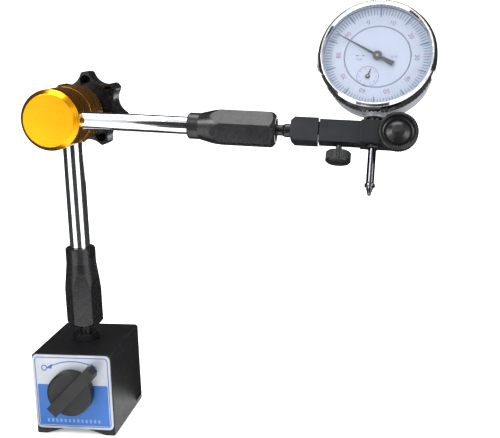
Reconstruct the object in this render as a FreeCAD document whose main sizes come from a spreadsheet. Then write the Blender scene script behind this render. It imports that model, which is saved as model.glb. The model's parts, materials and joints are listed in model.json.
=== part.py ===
"""Dial indicator on a switchable magnetic base, held by a two-arm stand.

Every length comes from the spreadsheet called "sizes" (millimetres and degrees).
The shared frame stands at the middle of the base underside: X to the right along
the base width, Y away from the switch side, Z up.
"""
import FreeCAD, Part
import Sketcher
import math
import os

V = FreeCAD.Vector
Placement = FreeCAD.Placement
Rotation = FreeCAD.Rotation

SIZES = {
    # magnetic base
    "base_width": 50.0, "base_depth": 60.0, "base_height": 52.0, "base_edge": 1.2,
    "groove_width": 38.0, "groove_depth": 6.0, "pole_gap": 1.8,
    "rotor_height": 29.0, "rotor_bore_radius": 14.2, "rotor_radius": 13.9,
    "plate_thick": 1.0, "label_margin": 0.5, "label_bottom": 4.0, "label_corner": 3.0,
    "shaft_radius": 4.0, "knob_radius": 13.8, "knob_thick": 7.0, "knob_gap": 0.4,
    "lever_width": 7.6, "lever_reach": 23.6, "lever_tail": 14.0, "lever_thick": 4.6,
    "lever_angle": 45.0,
    # running fit on a radius
    "fit": 0.05,
    # lower arm
    "stud_thread_radius": 4.0, "stud_thread_depth": 8.0, "flange_flats": 14.4,
    "flange_thick": 4.2, "lower_neck_radius": 3.5, "lower_ball_radius": 6.5,
    "lower_ball_height": 67.0, "lower_grip_bottom": 62.2, "lower_grip_top": 111.9,
    "lower_grip_ridge": 85.0, "lower_grip_shoulder": 102.1, "lower_grip_flats": 19.6,
    "lower_grip_round_radius": 9.25, "lower_grip_end_radius": 9.3,
    "lower_tube_radius": 6.25, "lower_tube_bore": 3.3, "lower_rod_radius": 3.0,
    # arm lock
    "lock_height": 193.75, "lock_radius": 17.5, "lock_rear": 9.0, "lock_rear_front": 11.9,
    "ring_thick": 1.45, "lock_split": 13.4, "lock_front": 36.4, "lock_bore": 6.6,
    "lock_front_bore": 7.0, "lock_chamfer": 3.0, "upper_arm_offset": 24.4,
    "bolt_radius": 3.0, "rod_ball_radius": 2.5, "wedge_radius": 5.03,
    "upper_rod_ball_radius": 2.2, "cone_radius": 4.0, "cone_slope": 0.171,
    "star_radius": 24.2, "star_rim": 29.0, "star_back": 42.5, "star_lobes": 7.0,
    "star_notch": 10.0, "star_notch_depth": 5.6, "star_tip": 2.4, "star_edge": 1.6,
    # upper arm
    "arm_droop": 3.6, "upper_tube_radius": 5.0, "upper_tube_bore": 2.65,
    "upper_rod_radius": 2.35, "upper_grip_start": 78.5, "upper_grip_end": 128.3,
    "upper_grip_shoulder": 85.0, "upper_grip_ridge": 97.4, "upper_grip_flats": 18.2,
    "upper_grip_round_radius": 7.4, "upper_grip_end_radius": 7.8,
    "upper_ball_radius": 5.0, "upper_ball_station": 123.3, "upper_neck_radius": 3.0,
    # clamp head
    "head_roll": 27.0, "swivel_start": 136.4, "swivel_end": 151.7, "swivel_half_height": 6.75,
    "swivel_half_thick": 5.0, "tongue_half_thick": 1.9, "tongue_end": 166.5,
    "pin_station": 155.9, "pin_height": 3.0, "pin_radius": 1.0,
    "clamp_start": 152.3, "clamp_end": 199.6, "clamp_half_height": 6.4,
    "clamp_half_thick": 4.25, "boss_start": 174.8, "boss_half_thick": 6.5,
    "clamp_knob_drop": 1.6, "screw_station": 163.6, "screw_radius": 1.75, "screw_head_radius": 7.0,
    "stem_station": 181.7, "clamp_knob_station": 194.9, "clamp_knob_radius": 10.8,
    # dial indicator
    "dial_lift": 42.5, "dial_yaw": 4.0, "case_radius": 30.3, "case_bore": 28.3,
    "case_back": 8.0, "case_front": 7.9, "lip_radius": 29.3, "bezel_radius": 32.4,
    "bezel_back": 6.3, "bezel_front": 15.0, "window_radius": 29.0, "crystal_radius": 29.6,
    "crystal_back": 12.2, "crystal_front": 13.4, "face_back": 8.3, "face_front": 8.8,
    "scale_inner": 18.5, "scale_outer": 29.5, "stem_radius": 4.0, "stem_end": 50.5,
    "spindle_radius": 2.25, "spindle_end": 69.9, "spindle_top": 19.0, "contact_length": 7.4,
    "arbor_x": 4.6, "arbor_drop": 11.9, "gear_radius": 11.45, "gear_teeth": 100.0,
    "lug_bore": 3.25, "lug_height": 16.0, "wheel_x": 11.0, "wheel_rise": 6.45,
    "hairspring_inner": 0.75, "hairspring_pitch": 0.9, "hairspring_ribbon": 0.14,
    "hairspring_turns": 5.0,
}


class Size:
    """A number together with the spreadsheet formula it comes from."""

    def __init__(self, value, formula):
        self.value = value
        self.formula = formula

    def __add__(self, other):
        return combine(self, "+", other)

    def __radd__(self, other):
        return combine(other, "+", self)

    def __sub__(self, other):
        return combine(self, "-", other)

    def __rsub__(self, other):
        return combine(other, "-", self)

    def __mul__(self, other):
        return combine(self, "*", other)

    def __rmul__(self, other):
        return combine(other, "*", self)

    def __truediv__(self, other):
        return combine(self, "/", other)

    def __neg__(self):
        return combine(-1.0, "*", self)


def as_size(item):
    if isinstance(item, Size):
        return item
    return Size(float(item), f"{float(item):.6f}")


def combine(first, sign, second):
    """The sum, difference, product or quotient of two sizes, with its formula."""
    a, b = as_size(first), as_size(second)
    results = {
        "+": a.value + b.value,
        "-": a.value - b.value,
        "*": a.value * b.value,
        "/": a.value / b.value if b.value else 0.0,
    }
    return Size(results[sign], f"(({a.formula}) {sign} ({b.formula}))")


class Sizes:
    """Reads like size.base_width; each name is an alias in the spreadsheet."""

    def __getattr__(self, name):
        return Size(SIZES[name], f"sizes.{name}")


size = Sizes()
doc = FreeCAD.newDocument("dial_indicator_on_magnetic_base")


def write_sheet():
    sheet = doc.addObject("Spreadsheet::Sheet", "sizes")
    for row, (name, value) in enumerate(SIZES.items(), start=1):
        sheet.set(f"A{row}", name)
        sheet.set(f"B{row}", str(value))
        sheet.setAlias(f"B{row}", name)
    doc.recompute()


def tie(thing, name, amount):
    """Bind one property of an object to a spreadsheet formula."""
    thing.setExpression(name, as_size(amount).formula)


def point(x, y):
    return (as_size(x), as_size(y))


class Piece:
    """One PartDesign body drawn in its own frame and placed in the shared frame."""

    made = []

    def __init__(self, label, placement=None):
        self.body = doc.addObject("PartDesign::Body", label)
        self.body.Label = label
        self.body.Placement = placement or Placement()
        Piece.made.append(self)

    def sketch(self, plane="XY_Plane", start=0.0):
        """A sketch on one of the body's origin planes, moved along the plane normal."""
        planes = [item for item in self.body.Origin.OriginFeatures if item.Role == plane]
        made = self.body.newObject("Sketcher::SketchObject", "Sketch")
        made.AttachmentSupport = [(planes[0], "")]
        made.MapMode = "FlatFace"
        start = as_size(start)
        made.AttachmentOffset = Placement(V(0, 0, start.value), Rotation())
        tie(made, "AttachmentOffset.Base.z", start)
        return made

    def feature(self, kind, profile):
        made = self.body.newObject(f"PartDesign::{kind}", kind)
        made.Profile = profile
        profile.Visibility = False
        return made

    def pad(self, profile, length):
        made = self.feature("Pad", profile)
        tie(made, "Length", length)
        doc.recompute()
        return made

    def cut(self, profile, length):
        """Remove the profile along its own normal, from its plane onward."""
        before = self.body.Shape.Volume
        made = self.feature("Pocket", profile)
        made.Reversed = True
        tie(made, "Length", length)
        doc.recompute()
        if not self.body.Shape.Volume < before - 1e-6:
            raise ValueError(f"{self.body.Label}: a pocket removed nothing")
        return made

    def turn(self, profile):
        """Revolve a half profile about the upright axis of its sketch."""
        made = self.feature("Revolution", profile)
        made.ReferenceAxis = (profile, ["V_Axis"])
        made.Angle = 360.0
        doc.recompute()
        return made

    def ball(self, radius, x=0.0, y=0.0, z=0.0, hollow=False):
        """Add a ball, or take one away when hollow is set."""
        kind = "SubtractiveSphere" if hollow else "AdditiveSphere"
        made = self.body.newObject(f"PartDesign::{kind}", kind)
        tie(made, "Radius", radius)
        for axis, amount in (("x", x), ("y", y), ("z", z)):
            tie(made, f"Placement.Base.{axis}", amount)
        doc.recompute()
        return made

    def ring_of(self, feature, count):
        """Repeat a feature evenly about the body's own Z axis."""
        made = self.body.newObject("PartDesign::PolarPattern", "PolarPattern")
        axes = [item for item in self.body.Origin.OriginFeatures if item.Role == "Z_Axis"]
        made.Originals = [feature]
        made.Axis = (axes[0], [""])
        made.Angle = 360.0
        made.Occurrences = count
        self.body.Tip = made
        doc.recompute()
        return made

    def row_of(self, feature, length, count):
        """Repeat a feature evenly along the body's own Z axis."""
        made = self.body.newObject("PartDesign::LinearPattern", "LinearPattern")
        axes = [item for item in self.body.Origin.OriginFeatures if item.Role == "Z_Axis"]
        made.Originals = [feature]
        made.Direction = (axes[0], [""])
        made.Length = length
        made.Occurrences = count
        self.body.Tip = made
        doc.recompute()
        return made

    def soften(self, kind, amount, wanted):
        """Fillet or chamfer the edges picked out by the test called wanted."""
        base = self.body.Tip
        names = [
            f"Edge{number}"
            for number, edge in enumerate(base.Shape.Edges, start=1)
            if wanted(edge)
        ]
        made = self.body.newObject(f"PartDesign::{kind}", kind)
        made.Base = (base, names)
        tie(made, "Radius" if kind == "Fillet" else "Size", amount)
        doc.recompute()
        return made


class SolidPiece:
    """A piece whose shape is worked out directly, for forms a sketch suits badly."""

    def __init__(self, label, shape, placement):
        self.body = doc.addObject("Part::Feature", label)
        self.body.Label = label
        self.body.Shape = shape
        self.body.Placement = placement
        Piece.made.append(self)


def outline(sketch, points):
    """A closed outline through the points, each one held by two dimensions."""
    points = [point(x, y) for x, y in points]
    first = sketch.GeometryCount
    count = len(points)
    for index in range(count):
        a, b = points[index], points[(index + 1) % count]
        line = Part.LineSegment(V(a[0].value, a[1].value, 0), V(b[0].value, b[1].value, 0))
        sketch.addGeometry(line)
    for index in range(count):
        here, following = first + index, first + (index + 1) % count
        sketch.addConstraint(Sketcher.Constraint("Coincident", here, 2, following, 1))
    for index, (x, y) in enumerate(points):
        hold_point(sketch, first + index, 1, x, y)
    return sketch


def hold_point(sketch, geometry, end, x, y):
    for kind, amount, axis in (("DistanceX", x, -2), ("DistanceY", y, -1)):
        if abs(amount.value) < 1e-9:
            sketch.addConstraint(Sketcher.Constraint("PointOnObject", geometry, end, axis))
            continue
        made = Sketcher.Constraint(kind, -1, 1, geometry, end, amount.value)
        number = sketch.addConstraint(made)
        sketch.setExpression(f"Constraints[{number}]", amount.formula)


def circle(sketch, radius, x=0.0, y=0.0):
    """A circle held by its radius and its centre."""
    radius, x, y = as_size(radius), as_size(x), as_size(y)
    shape = Part.Circle(V(x.value, y.value, 0), V(0, 0, 1), radius.value)
    geometry = sketch.addGeometry(shape)
    number = sketch.addConstraint(Sketcher.Constraint("Radius", geometry, radius.value))
    sketch.setExpression(f"Constraints[{number}]", radius.formula)
    hold_point(sketch, geometry, 3, x, y)
    return sketch


def rectangle(sketch, left, bottom, right, top):
    return outline(sketch, [(left, bottom), (right, bottom), (right, top), (left, top)])


def regular(sketch, flats, sides=6, turn=0.0):
    """A regular outline given by the distance across its flats."""
    reach = flats / (2.0 * math.cos(math.pi / sides))
    points = []
    for index in range(sides):
        angle = math.radians(turn) + 2.0 * math.pi * index / sides
        points.append((reach * math.cos(angle), reach * math.sin(angle)))
    return outline(sketch, points)


def toothed(piece, tip, depth, teeth, start, length):
    """A plain gear: a round blank with one straight-sided gap, repeated round it."""
    tip = as_size(tip)
    piece.pad(circle(piece.sketch(start=start), tip), length)
    narrow = math.pi * tip.value / teeth * 0.36
    wide = narrow * 1.7
    gap = outline(piece.sketch(start=start), [
        (tip - depth, -narrow),
        (tip + 0.2, -wide),
        (tip + 0.2, wide),
        (tip - depth, narrow),
    ])
    piece.ring_of(piece.cut(gap, length), teeth)


def revolved(label, placement, profile):
    """A turned piece; the profile is radius and height pairs."""
    made = Piece(label, placement)
    made.turn(outline(made.sketch("XZ_Plane"), profile))
    return made


# ---------------------------------------------------------------- placements
FACING = Placement(V(0, 0, 0), Rotation(V(1, 0, 0), 90))
ALONG = Placement(V(0, 0, 0), Rotation(V(0, 1, 0), 90))


def shift(x=0.0, y=0.0, z=0.0):
    return Placement(V(*(as_size(item).value for item in (x, y, z))), Rotation())


def spin(axis, degrees):
    return Placement(V(0, 0, 0), Rotation(V(*axis), as_size(degrees).value))


BASE = Placement()
BASE_FACE = FACING
LOCK = shift(0, 0, size.lock_height)
LOCK_FACE = LOCK * FACING
ARM_DIRECTION = LOCK * spin((0, 1, 0), size.arm_droop)
FRONT_LOCK_FACE = ARM_DIRECTION * FACING
UPPER_ARM = ARM_DIRECTION * shift(0, -size.upper_arm_offset, 0)
UPPER_ALONG = UPPER_ARM * ALONG
HEAD = UPPER_ARM * spin((1, 0, 0), -size.head_roll)
HEAD_FACE = HEAD * FACING
DIAL = HEAD * shift(size.stem_station, 0, size.dial_lift) * spin((0, 0, 1), -size.dial_yaw)
DIAL_FACE = DIAL * FACING


# ---------------------------------------------------------------- magnetic base
def pole(label, side):
    """One steel half of the base, with its share of the magnet bore and the groove."""
    half = size.base_width / 2
    edge = size.base_edge
    gap = size.pole_gap / 2
    groove = size.groove_width / 2
    apex = size.groove_depth * (1 - gap / groove)
    made = Piece(label, BASE_FACE)
    length = size.base_depth - 2 * size.plate_thick
    profile = outline(
        made.sketch(start=-length / 2),
        [
            (side * gap, apex),
            (side * groove, 0),
            (side * (half - edge / 2), 0),
            (side * half, edge / 2),
            (side * half, size.base_height - edge),
            (side * (half - edge), size.base_height),
            (side * gap, size.base_height),
        ],
    )
    made.pad(profile, length)
    bore = circle(made.sketch(start=-length / 2), size.rotor_bore_radius, 0, size.rotor_height)
    made.cut(bore, length)
    hole = made.sketch("XZ_Plane", start=-size.base_height)
    made.cut(circle(hole, size.stud_thread_radius + size.fit), size.stud_thread_depth + 0.5)
    return made


def base_plate(label, start, bottom):
    """A thin end plate with rounded corners and a hole for the switch shaft."""
    half = size.base_width / 2 - size.label_margin
    made = Piece(label, BASE_FACE)
    top = size.base_height - size.label_margin
    made.pad(rectangle(made.sketch(start=start), -half, bottom, half, top), size.plate_thick)
    made.soften("Fillet", size.label_corner, lambda edge: abs(edge.BoundBox.ZLength) > 0.5)
    return made


def magnetic_base():
    pole("pole_left", -1)
    pole("pole_right", 1)
    gap = size.pole_gap / 2
    length = size.base_depth - 2 * size.plate_thick

    spacer = Piece("top_spacer", BASE_FACE)
    bottom = size.rotor_height + size.rotor_bore_radius
    profile = rectangle(spacer.sketch(start=-length / 2), -gap, bottom, gap, size.base_height)
    spacer.pad(profile, length)
    hole = spacer.sketch("XZ_Plane", start=-size.base_height)
    spacer.cut(circle(hole, size.stud_thread_radius + size.fit), size.stud_thread_depth + 0.5)

    keel = Piece("bottom_spacer", BASE_FACE)
    top = size.rotor_height - size.rotor_bore_radius
    profile = rectangle(keel.sketch(start=-length / 2), -gap, size.groove_depth - 0.2, gap, top)
    keel.pad(profile, length)

    front = size.base_depth / 2 - size.plate_thick
    label = base_plate("front_label", front, size.label_bottom)
    hole = circle(label.sketch(start=front), size.shaft_radius + 0.3, 0, size.rotor_height)
    label.cut(hole, size.plate_thick)
    base_plate("rear_cover", -size.base_depth / 2, size.groove_depth + 0.5)

    centre = BASE_FACE * shift(0, size.rotor_height, 0)
    reach = front - 1
    revolved("magnet_rotor", centre, [
        (size.shaft_radius + 0.02, -reach),
        (size.rotor_radius - 0.6, -reach),
        (size.rotor_radius, -reach + 0.6),
        (size.rotor_radius, reach - 0.6),
        (size.rotor_radius - 0.6, reach),
        (size.shaft_radius + 0.02, reach),
    ])
    knob_back = size.base_depth / 2 + size.knob_gap
    revolved("switch_shaft", centre, [
        (0, -reach),
        (size.shaft_radius, -reach),
        (size.shaft_radius, knob_back + size.knob_thick - 1),
        (0, knob_back + size.knob_thick - 1),
    ])
    switch_knob(centre * spin((0, 0, 1), size.lever_angle), knob_back)


def switch_knob(placement, back):
    """Round disc with a raised lever bar; the bar lies along the body's own X."""
    front = back + size.knob_thick
    knob = revolved("switch_knob", placement, [
        (0, back),
        (size.knob_radius, back),
        (size.knob_radius, front - 1),
        (size.knob_radius - 1, front),
        (0, front),
    ])
    half = size.lever_width / 2
    bar = outline(knob.sketch(start=front - 3), [
        (-size.lever_tail, -half),
        (size.lever_reach - 2.5, -half),
        (size.lever_reach, -half + 1.8),
        (size.lever_reach, half - 1.8),
        (size.lever_reach - 2.5, half),
        (-size.lever_tail, half),
    ])
    knob.pad(bar, size.lever_thick + 3)
    knob.cut(circle(knob.sketch(start=back), size.shaft_radius + 0.02), size.knob_thick - 0.9)


# ---------------------------------------------------------------- arms
def grip(label, placement, dims):
    """A sleeve that is round at one end and six-sided over its wide end."""
    reach = dims["flats"] / (2.0 * math.cos(math.pi / 6))
    end, ridge = dims["end"], dims["ridge"]
    shoulder, start = dims["shoulder"], dims["start"]
    way = dims["way"]
    lip = reach - dims["end_radius"]
    sleeve = revolved(label, placement, [
        (dims["mouth"], end),
        (dims["end_radius"], end),
        (reach, end + way * lip),
        (reach, ridge),
        (dims["round"], shoulder),
        (dims["round"], start - way * 0.8),
        (dims["round"] - 0.8, start),
        (dims["tube"], start),
        (dims["tube"], dims["tube_end"]),
        (dims["cup"], dims["tube_end"]),
        (dims["cup"], dims["ball"] - way * 0.2),
        (dims["throat"], dims["throat_at"]),
    ])
    low = end if way > 0 else shoulder
    flats = sleeve.sketch(start=low)
    circle(flats, reach + 2)
    regular(flats, dims["flats"], 6, dims["turn"])
    sleeve.cut(flats, (shoulder - end) * way)
    sleeve.ball(dims["seat"], z=dims["ball"], hollow=True)
    return sleeve


def lower_arm():
    ball = size.lower_ball_height
    radius = size.lower_ball_radius
    top = size.base_height

    stud = revolved("lower_ball_stud", BASE, [
        (0, top - size.stud_thread_depth),
        (size.stud_thread_radius - 0.4, top - size.stud_thread_depth),
        (size.stud_thread_radius, top - size.stud_thread_depth + 0.4),
        (size.stud_thread_radius, top + size.flange_thick),
        (size.lower_neck_radius, top + size.flange_thick),
        (size.lower_neck_radius, ball - radius * 0.7),
        (0, ball - radius * 0.7),
    ])
    stud.pad(regular(stud.sketch(start=top + 0.05), size.flange_flats, 6, 8.0), size.flange_thick)
    stud.ball(radius, z=ball)

    cup = revolved("lower_ball_cup", BASE, [
        (0, ball + 1),
        (radius, ball + 1),
        (radius, ball + 11),
        (0, ball + 11),
    ])
    cup.ball(radius + size.fit, z=ball, hollow=True)

    rod_end = size.lock_height - 10.2
    revolved("lower_push_rod", BASE, [
        (0, ball + 11.02),
        (size.lower_rod_radius, ball + 11.02),
        (size.lower_rod_radius, rod_end - 0.6),
        (size.lower_rod_radius - 0.6, rod_end),
        (0, rod_end),
    ])
    ball_height = size.lock_height - 7.6
    steel = Piece("lower_rod_ball", shift(0, 0, ball_height))
    steel.ball(size.rod_ball_radius)

    grip("lower_grip", BASE, {
        "way": 1, "turn": 14.0, "flats": size.lower_grip_flats,
        "end": size.lower_grip_bottom, "ridge": size.lower_grip_ridge,
        "shoulder": size.lower_grip_shoulder, "start": size.lower_grip_top,
        "round": size.lower_grip_round_radius, "end_radius": size.lower_grip_end_radius,
        "mouth": 6.2, "throat": 5.7, "throat_at": ball - 3.1,
        "seat": radius + size.fit, "ball": ball,
        "cup": radius + 0.1, "tube": size.lower_tube_radius + 0.02,
        "tube_end": ball + 15.5,
    })
    revolved("lower_tube", BASE, [
        (size.lower_tube_bore, ball + 15.6),
        (size.lower_tube_radius, ball + 15.6),
        (size.lower_tube_radius, size.lock_height - 9.2),
        (size.lower_tube_bore, size.lock_height - 9.2),
    ])


def upper_arm():
    ball = size.upper_ball_station
    radius = size.upper_ball_radius
    revolved("upper_tube", UPPER_ALONG, [
        (size.upper_tube_bore, 9.2),
        (size.upper_tube_radius, 9.2),
        (size.upper_tube_radius, ball - 13.6),
        (size.upper_tube_bore, ball - 13.6),
    ])
    grip("upper_grip", UPPER_ALONG, {
        "way": -1, "turn": 12.0, "flats": size.upper_grip_flats,
        "end": size.upper_grip_end, "ridge": size.upper_grip_ridge,
        "shoulder": size.upper_grip_shoulder, "start": size.upper_grip_start,
        "round": size.upper_grip_round_radius, "end_radius": size.upper_grip_end_radius,
        "mouth": 6.3, "throat": 4.62, "throat_at": ball + 2.1,
        "seat": radius + size.fit, "ball": ball,
        "cup": radius + 0.1, "tube": size.upper_tube_radius + 0.02,
        "tube_end": ball - 13.5,
    })
    cup = revolved("upper_ball_cup", UPPER_ALONG, [
        (0, ball - 9),
        (radius, ball - 9),
        (radius, ball - 0.8),
        (0, ball - 0.8),
    ])
    cup.ball(radius + size.fit, z=ball, hollow=True)
    revolved("upper_push_rod", UPPER_ALONG, [
        (0, 8.55),
        (size.upper_rod_radius - 0.5, 8.55),
        (size.upper_rod_radius, 9.05),
        (size.upper_rod_radius, ball - 9.02),
        (0, ball - 9.02),
    ])
    steel = Piece("upper_rod_ball", UPPER_ARM * shift(6.3, 0, 0))
    steel.ball(size.upper_rod_ball_radius)

    stud = revolved("upper_ball_stud", UPPER_ALONG, [
        (0, ball + 3.6),
        (size.upper_neck_radius, ball + 3.6),
        (size.upper_neck_radius, ball + 8.6),
        (size.upper_neck_radius + 0.75, ball + 10),
        (size.upper_neck_radius + 0.75, size.swivel_start - 0.15),
        (size.upper_neck_radius, size.swivel_start - 0.15),
        (size.upper_neck_radius, size.swivel_start + 8),
        (0, size.swivel_start + 8),
    ])
    stud.ball(radius, z=ball)


# ---------------------------------------------------------------- arm lock
def arm_lock():
    rear = -size.lock_rear
    body = revolved("rear_lock_body", LOCK_FACE, [
        (size.lock_bore, rear),
        (size.lock_radius - 0.9, rear),
        (size.lock_radius, rear + 0.9),
        (size.lock_radius, size.lock_rear_front),
        (size.lock_bore, size.lock_rear_front),
    ])
    hole = body.sketch("XZ_Plane", start=9.1)
    body.cut(circle(hole, size.lower_tube_radius + 0.02), 10)
    bore = body.sketch("XZ_Plane", start=4)
    body.cut(circle(bore, size.lower_tube_bore), 6)

    revolved("wear_ring", LOCK_FACE, [
        (size.lock_front_bore, size.lock_rear_front + 0.02),
        (size.lock_radius - 0.25, size.lock_rear_front + 0.02),
        (size.lock_radius - 0.25, size.lock_rear_front + size.ring_thick),
        (size.lock_front_bore, size.lock_rear_front + size.ring_thick),
    ])

    revolved("rear_wedge", LOCK_FACE, [
        (size.bolt_radius + size.fit, -15.9),
        (5.2, -15.9),
        (5.2, -8.6),
        (size.wedge_radius + size.cone_slope * 7.6, -7.6),
        (size.wedge_radius - size.cone_slope * 6, 6),
        (size.bolt_radius + size.fit, 6),
    ])
    revolved("thrust_washer", LOCK_FACE, [
        (size.bolt_radius + size.fit, -18.2),
        (11.0, -18.2),
        (11.5, -17.7),
        (11.5, -16.4),
        (11.0, -15.95),
        (size.bolt_radius + size.fit, -15.95),
    ])
    insert = revolved("knob_insert", LOCK_FACE, [
        (size.bolt_radius + size.fit, -18.3),
        (7.6, -18.3),
        (7.6, -24.0),
        (6.2, -24.6),
        (6.2, -38.0),
        (0, -38.0),
        (0, -37.0),
        (size.bolt_radius + size.fit, -37.0),
    ])
    flute = insert.cut(circle(insert.sketch(start=-24.4), 0.7, 7.9, 0), 6.2)
    insert.ring_of(flute, 18)
    star_knob()

    front = size.lock_front
    cup = revolved("front_lock_body", FRONT_LOCK_FACE, [
        (size.lock_front_bore, size.lock_split),
        (size.lock_radius, size.lock_split),
        (size.lock_radius, front - size.lock_chamfer),
        (size.lock_radius - 2.5, front),
        (0, front),
        (0, front - 3),
        (size.lock_front_bore, front - 3),
    ])
    hole = circle(cup.sketch("YZ_Plane", start=9.1), size.upper_tube_radius + 0.1,
                  0, size.upper_arm_offset)
    cup.cut(hole, 10)
    bore = circle(cup.sketch("YZ_Plane", start=5), size.upper_tube_bore,
                  0, size.upper_arm_offset)
    cup.cut(bore, 5)

    seat = size.upper_arm_offset
    slope = size.cone_slope
    revolved("draw_bolt", FRONT_LOCK_FACE, [
        (0, -36.0),
        (size.bolt_radius - 0.5, -36.0),
        (size.bolt_radius, -35.5),
        (size.bolt_radius, seat - 5.8),
        (size.cone_radius + slope * 7.6, seat + 7.6),
        (size.cone_radius + slope * 7.6, front - 3.05),
        (0, front - 3.05),
    ])


def star_knob():
    """Seven-lobed hand knob, hollow on the side that faces the lock."""
    rim, back, radius = -size.star_rim, -size.star_back, size.star_radius
    knob = revolved("star_knob", LOCK_FACE, [
        (6.25, rim + 2),
        (8.2, rim + 2),
        (8.2, back + 3),
        (radius - 7.3, back + 3),
        (radius - 7.3, rim),
        (radius, rim),
        (radius, back),
        (0, back),
        (0, back + 4),
        (6.25, back + 4),
    ])
    lobes = int(SIZES["star_lobes"])
    angle = math.pi / 2 + math.pi / lobes
    away = radius + size.star_notch - size.star_notch_depth
    notch = circle(knob.sketch(start=back - 1), size.star_notch,
                   away * math.cos(angle), away * math.sin(angle))
    knob.ring_of(knob.cut(notch, size.star_back - size.star_rim + 2), lobes)
    reach = SIZES["star_radius"]
    knob.soften("Fillet", size.star_tip, lambda edge: (
        edge.BoundBox.ZLength > 5
        and abs(math.hypot(edge.CenterOfMass.x, edge.CenterOfMass.y) - reach) < 0.1
    ))
    knob.soften("Fillet", size.star_edge, lambda edge: (
        edge.BoundBox.ZLength < 0.01
        and abs(edge.BoundBox.ZMin + SIZES["star_back"]) < 0.01
    ))
    hollow = circle(knob.sketch(start=back + 3), 3.4, 0, radius - 5.6)
    knob.ring_of(knob.cut(hollow, size.star_back - size.star_rim - 2.5), lobes)


# ---------------------------------------------------------------- clamp head
def clamp_head():
    swivel_block()
    clamp_body()
    thick = size.clamp_half_thick
    pin = Piece("hinge_pin", HEAD_FACE * shift(size.pin_station, size.pin_height, 0))
    pin.pad(circle(pin.sketch(start=-thick + 0.05), size.pin_radius), 2 * thick - 0.1)

    upright = HEAD * shift(size.screw_station, 0, 0)
    bottom = -size.clamp_half_height
    pad = revolved("fine_screw_pad", upright, [
        (0, -3.1),
        (1.15, -3.1),
        (1.15, -2.2),
        (0, -2.2),
    ])
    pad.ball(0.95, z=-2.05)
    screw = revolved("fine_adjust_screw", upright, [
        (0, -3.15),
        (size.screw_radius - 0.1, -3.15),
        (size.screw_radius - 0.1, bottom - 4.6),
        (size.screw_head_radius - 0.6, bottom - 4.6),
        (size.screw_head_radius, bottom - 5.2),
        (size.screw_head_radius, bottom - 9.7),
        (size.screw_head_radius - 0.7, bottom - 10.5),
        (size.screw_head_radius - 3.0, bottom - 11.2),
        (0, bottom - 11.5),
    ])
    groove = screw.sketch(start=bottom - 9.5)
    flute = screw.cut(circle(groove, 0.45, size.screw_head_radius + 0.15, 0), 4.4)
    screw.ring_of(flute, 36)
    coil("fine_adjust_spring", upright, 1.35, 0.22, 1.9, 4.15, 3.2)

    at = HEAD_FACE * shift(size.clamp_knob_station, -size.clamp_knob_drop, 0)
    side = size.boss_half_thick
    revolved("clamp_washer", at, [
        (2.6, side + 0.03),
        (4.7, side + 0.03),
        (4.7, side + 0.7),
        (2.6, side + 0.7),
    ])
    radius = size.clamp_knob_radius
    knob = revolved("clamp_knob", at, [
        (0, -side + 0.2),
        (2.2, -side + 0.2),
        (2.5, -side + 0.5),
        (2.5, side + 0.75),
        (6.0, side + 0.75),
        (radius - 1.4, side + 2.2),
        (radius, side + 3.0),
        (radius, side + 6.4),
        (radius - 0.9, side + 7.2),
        (radius - 1.6, side + 7.2),
        (radius - 2.4, side + 4.6),
        (radius - 3.2, side + 4.2),
        (6.2, side + 5.2),
        (3.5, side + 6.4),
        (0, side + 6.8),
    ])
    notch = circle(knob.sketch(start=side + 2.0), 0.42, radius + 0.12, 0)
    knob.ring_of(knob.cut(notch, 5.6), 48)


def swivel_block():
    """Block on the upper ball stud; its thin tongue carries the fine-adjust hinge."""
    half = size.swivel_half_height
    thick = size.swivel_half_thick
    start, end = size.swivel_start, size.swivel_end
    block = Piece("swivel_block", HEAD_FACE)
    shape = outline(block.sketch(start=-thick), [
        (start, -half + 2.2),
        (start + 2.2, -half),
        (end, -half),
        (end, half),
        (start + 2.2, half),
        (start, half - 2.2),
    ])
    block.pad(shape, 2 * thick)
    tongue = outline(block.sketch(start=-size.tongue_half_thick), [
        (end - 1, -1.0),
        (size.tongue_end, -1.0),
        (size.tongue_end, 1.6),
        (end + 8.3, 1.6),
        (end + 6.8, 5.4),
        (end - 1, 5.4),
    ])
    block.pad(tongue, 2 * size.tongue_half_thick)
    pin = block.sketch(start=-thick)
    block.cut(circle(pin, size.pin_radius + 0.02, size.pin_station, size.pin_height), 2 * thick)
    hole = block.sketch("YZ_Plane", start=start - 0.1)
    block.cut(circle(hole, size.upper_neck_radius + size.fit), 8.4)


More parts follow.
